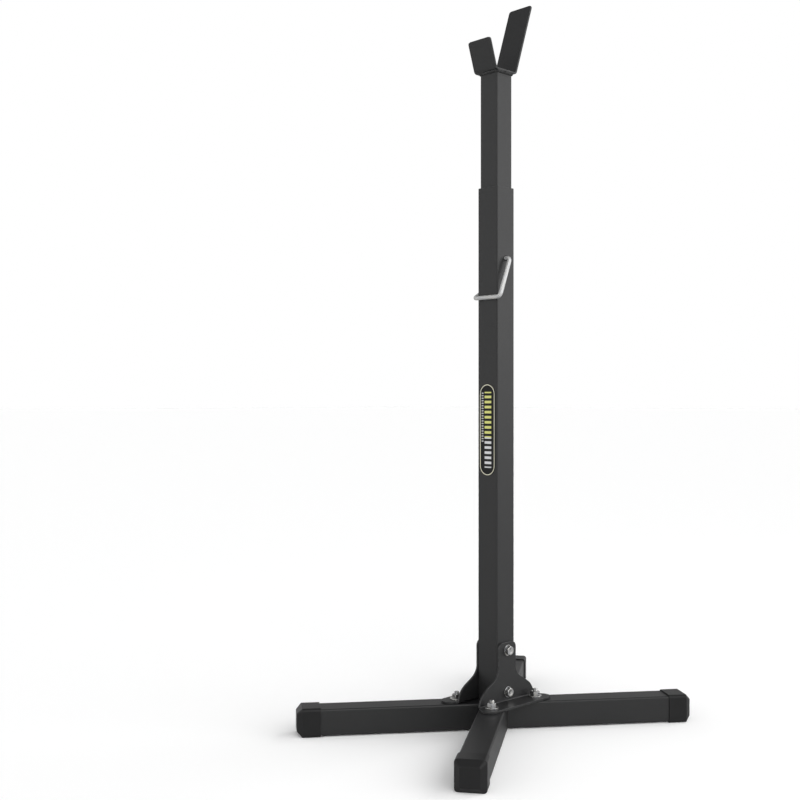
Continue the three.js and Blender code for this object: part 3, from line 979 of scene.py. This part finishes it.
def printed_film():
    """Satin film printed by its own coordinates: outline, bars and ticks on a dark field."""
    finish, tree, shader, place = new_finish("printed_film")
    smoothest, dullest = 0.34, 0.44
    spot = add_node(tree, "SeparateXYZ", {"Vector": place})
    across = math_of(tree, "SUBTRACT", spot.outputs["X"], label_middle.x)
    up = math_of(tree, "SUBTRACT", spot.outputs["Z"], label_middle.z)

    def within(value, middle, half):
        """One where a value lies within a half width of a middle, with a print's soft edge."""
        off = math_of(tree, "ABSOLUTE", math_of(tree, "SUBTRACT", value, middle))
        return stretch(tree, off, half - print_edge, half + print_edge, 1, 0)

    def every(value, pitch, share):
        """One on a share of each pitch, for a row of like marks."""
        turn = math_of(tree, "FRACT", math_of(tree, "DIVIDE", value, pitch))
        return within(turn, 0.5, share / 2)

    def squared(value):
        return math_of(tree, "POWER", value, 2)

    past = math_of(tree, "SUBTRACT", math_of(tree, "ABSOLUTE", up), label_straight)
    past = math_of(tree, "MAXIMUM", past, 0)
    sideways = math_of(tree, "ABSOLUTE", across)
    from_spine = math_of(tree, "SQRT", math_of(tree, "ADD", squared(sideways), squared(past)))
    outline = within(from_spine, label_width / 2 - outline_inset, outline_half)
    bars = times(tree, within(across, bar_middle, bar_half), every(up, bar_pitch, bar_share))
    yellow = times(tree, bars, within(up, yellow_middle, yellow_half))
    white = times(tree, bars, within(up, white_middle, white_half))
    ticks = times(tree, within(across, tick_middle, tick_half), every(up, tick_pitch, tick_share))
    ticks = times(tree, ticks, within(up, tick_row_middle, tick_row_half))
    clouding = speckle(tree, place, scale=300, detail=2)
    film = colour_between(tree, clouding, field_dark, field_pale)
    film = colour_between(tree, outline, film, print_cream)
    film = colour_between(tree, yellow, film, print_yellow)
    film = colour_between(tree, white, film, print_white)
    film = colour_between(tree, ticks, film, print_grey)
    dulling = speckle(tree, place, scale=600, detail=2)
    rough = stretch(tree, dulling, 0.3, 0.7, smoothest, dullest)
    waviness = speckle(tree, place, scale=120, detail=2)
    shader.inputs["Specular IOR Level"].default_value = label_gloss
    lay_on(tree, shader, film, rough, waviness, strength=0.15, depth=0.00003)
    return finish


def film():
    """A slab with round ends that faces the front, its front rim rounded."""
    edge = label_rim_share * label_thickness
    part = round_share * edge
    rings = []
    for back, inset in ((label_thickness, 0), (edge, 0), (part, part), (0, edge)):
        radius = label_width / 2 - inset
        ring = []
        for end in (1, -1):
            for step in range(label_end_steps + 1):
                turn = math.pi * step / label_end_steps
                x = end * radius * math.cos(turn)
                z = end * (label_straight + radius * math.sin(turn))
                ring.append((label_middle.x + x, label_low.y + back, label_middle.z + z))
        rings.append(ring)
    return loft(rings, capped=True)


label = add_piece(
    "printed_label", film(), Matrix(), printed_film(), "label_film", "base", "label",
)
soften(label)


# Floor: one plain matt surface, laid level under the caps. It is white as far as the eye goes,
# and takes the stand's soft shadow.
floor_half = 60.0
floor_grey = 0.57
floor_white = 0.98


def pale_floor():
    """Matt and pale: it lights the stand as a pale grey, and shows up to white when looked at."""
    finish = bpy.data.materials.new("pale_floor")
    finish.use_nodes = True
    tree = finish.node_tree
    tree.nodes.clear()
    path = add_node(tree, "LightPath").outputs
    seen = math_of(tree, "MAXIMUM", path["Is Camera Ray"], path["Is Transmission Ray"])
    paint = colour_between(tree, seen, (floor_grey,) * 3, (floor_white,) * 3)
    matt = add_node(tree, "BsdfDiffuse", {"Color": paint})
    add_node(tree, "OutputMaterial", {"Surface": matt.outputs[0]})
    return finish


floor_mesh = bpy.data.meshes.new("floor")
quarters = ((-1, -1), (1, -1), (1, 1), (-1, 1))
floor_corners = [(x * floor_half, y * floor_half, 0) for x, y in quarters]
floor_mesh.from_pydata(floor_corners, [], [(0, 1, 2, 3)])
floor_mesh.materials.append(pale_floor())
floor = bpy.data.objects.new("floor", floor_mesh)
bpy.context.scene.collection.objects.link(floor)


# Light: a white room, whose soft light is strongest low down and at the front right. Its mirrored
# walls are dimmer overhead and towards two corners. Three wide lamps shine from the right, the
# front and the back, and a tall panel brightens the posts' right faces.
low_light = 2.68
high_light = 0.25
low_band = 0.7
bright_side = (0.75, -0.66, 0.0)
side_swing = 0.55
room_white = 1.03
ceiling_low, ceiling_high, ceiling_share = 0.2, 0.6, 0.3
dim_rim, dim_core = 0.45, 0.95
dim_corner, dim_corner_share = (-0.66, 0.74, 0.12), 0.55
dim_side, dim_side_share = (0.90, -0.42, 0.10), 0.7
panel_width = 1.5
panel_height = 1.3
panel_power = 8.5
panel_place = (1.85, 1.30, 1.02)
world = bpy.data.worlds.new("white_room")
bpy.context.scene.world = world
world.use_nodes = True
room = world.node_tree
room.nodes.clear()
room_path = add_node(room, "LightPath").outputs
looked_at = math_of(room, "MAXIMUM", room_path["Is Camera Ray"], room_path["Is Transmission Ray"])
towards = add_node(room, "TexCoord").outputs["Generated"]
rise = add_node(room, "SeparateXYZ", {"Vector": towards}).outputs["Z"]


def white_light(strength):
    """An even white background of this strength, as a shader."""
    colour = (1, 1, 1, 1)
    return add_node(room, "Background", {"Color": colour, "Strength": strength}).outputs[0]


ceiling = stretch(room, rise, ceiling_low, ceiling_high, 1, ceiling_share)
corner = stretch(room, likeness(room, towards, dim_corner), dim_rim, dim_core, 1, dim_corner_share)
side_wall = stretch(room, likeness(room, towards, dim_side), dim_rim, dim_core, 1, dim_side_share)
mirrored = times(room, times(room, times(room, ceiling, corner), side_wall), room_white)
wall = math_of(room, "MAXIMUM", mirrored, looked_at)
frontwards = likeness(room, towards, bright_side)
front_share = stretch(room, frontwards, -1, 1, 1 - side_swing, 1 + side_swing)
soft = times(room, stretch(room, rise, 0, low_band, low_light, high_light), front_share)
shown = math_of(room, "MAXIMUM", looked_at, room_path["Is Glossy Ray"])
mixed = add_node(room, "MixShader", {0: shown, 1: white_light(soft), 2: white_light(wall)})
add_node(room, "OutputWorld", {"Surface": mixed.outputs[0]})


def hang_lamp(lamp, position, aim):
    holder = bpy.data.objects.new(lamp.name, lamp)
    holder.location = position
    holder.rotation_euler = (Vector(aim) - Vector(position)).to_track_quat("-Z", "Y").to_euler()
    bpy.context.scene.collection.objects.link(holder)


wide_lamps = (
    ("wide_lamp", 60, 0.7, (0.84, 0.20, 0.50)),
    ("front_lamp", 34, 0.7, (0.58, -0.46, 0.67)),
    ("back_lamp", 26, 0.5, (0.2385, 0.722, 0.649)),
)
for name, spread, strength, position in wide_lamps:
    lamp = bpy.data.lights.new(name, "SUN")
    lamp.angle = math.radians(spread)
    lamp.energy = strength
    hang_lamp(lamp, position, (0, 0, 0))

panel = bpy.data.lights.new("right_panel", "AREA")
panel.shape = "RECTANGLE"
panel.size = panel_width
panel.size_y = panel_height
panel.energy = panel_power
hang_lamp(panel, panel_place, (0, 0, panel_place[2]))


# Camera: level, at half the stand's height, where the photograph was taken from. Its lens gives
# the photograph's own frame, which is square.
camera_place = (1.1854, -1.3349, 0.5074)
camera_turn = math.radians(46.4)
focal_pixels = 1145
picture_pixels = 800
camera_data = bpy.data.cameras.new("camera")
camera_data.lens = camera_data.sensor_width * focal_pixels / picture_pixels
camera = bpy.data.objects.new("camera", camera_data)
camera.location = camera_place
camera.rotation_euler = (math.pi / 2, 0, camera_turn)
bpy.context.scene.collection.objects.link(camera)
bpy.context.scene.camera = camera
bpy.context.scene.view_settings.view_transform = "Standard"
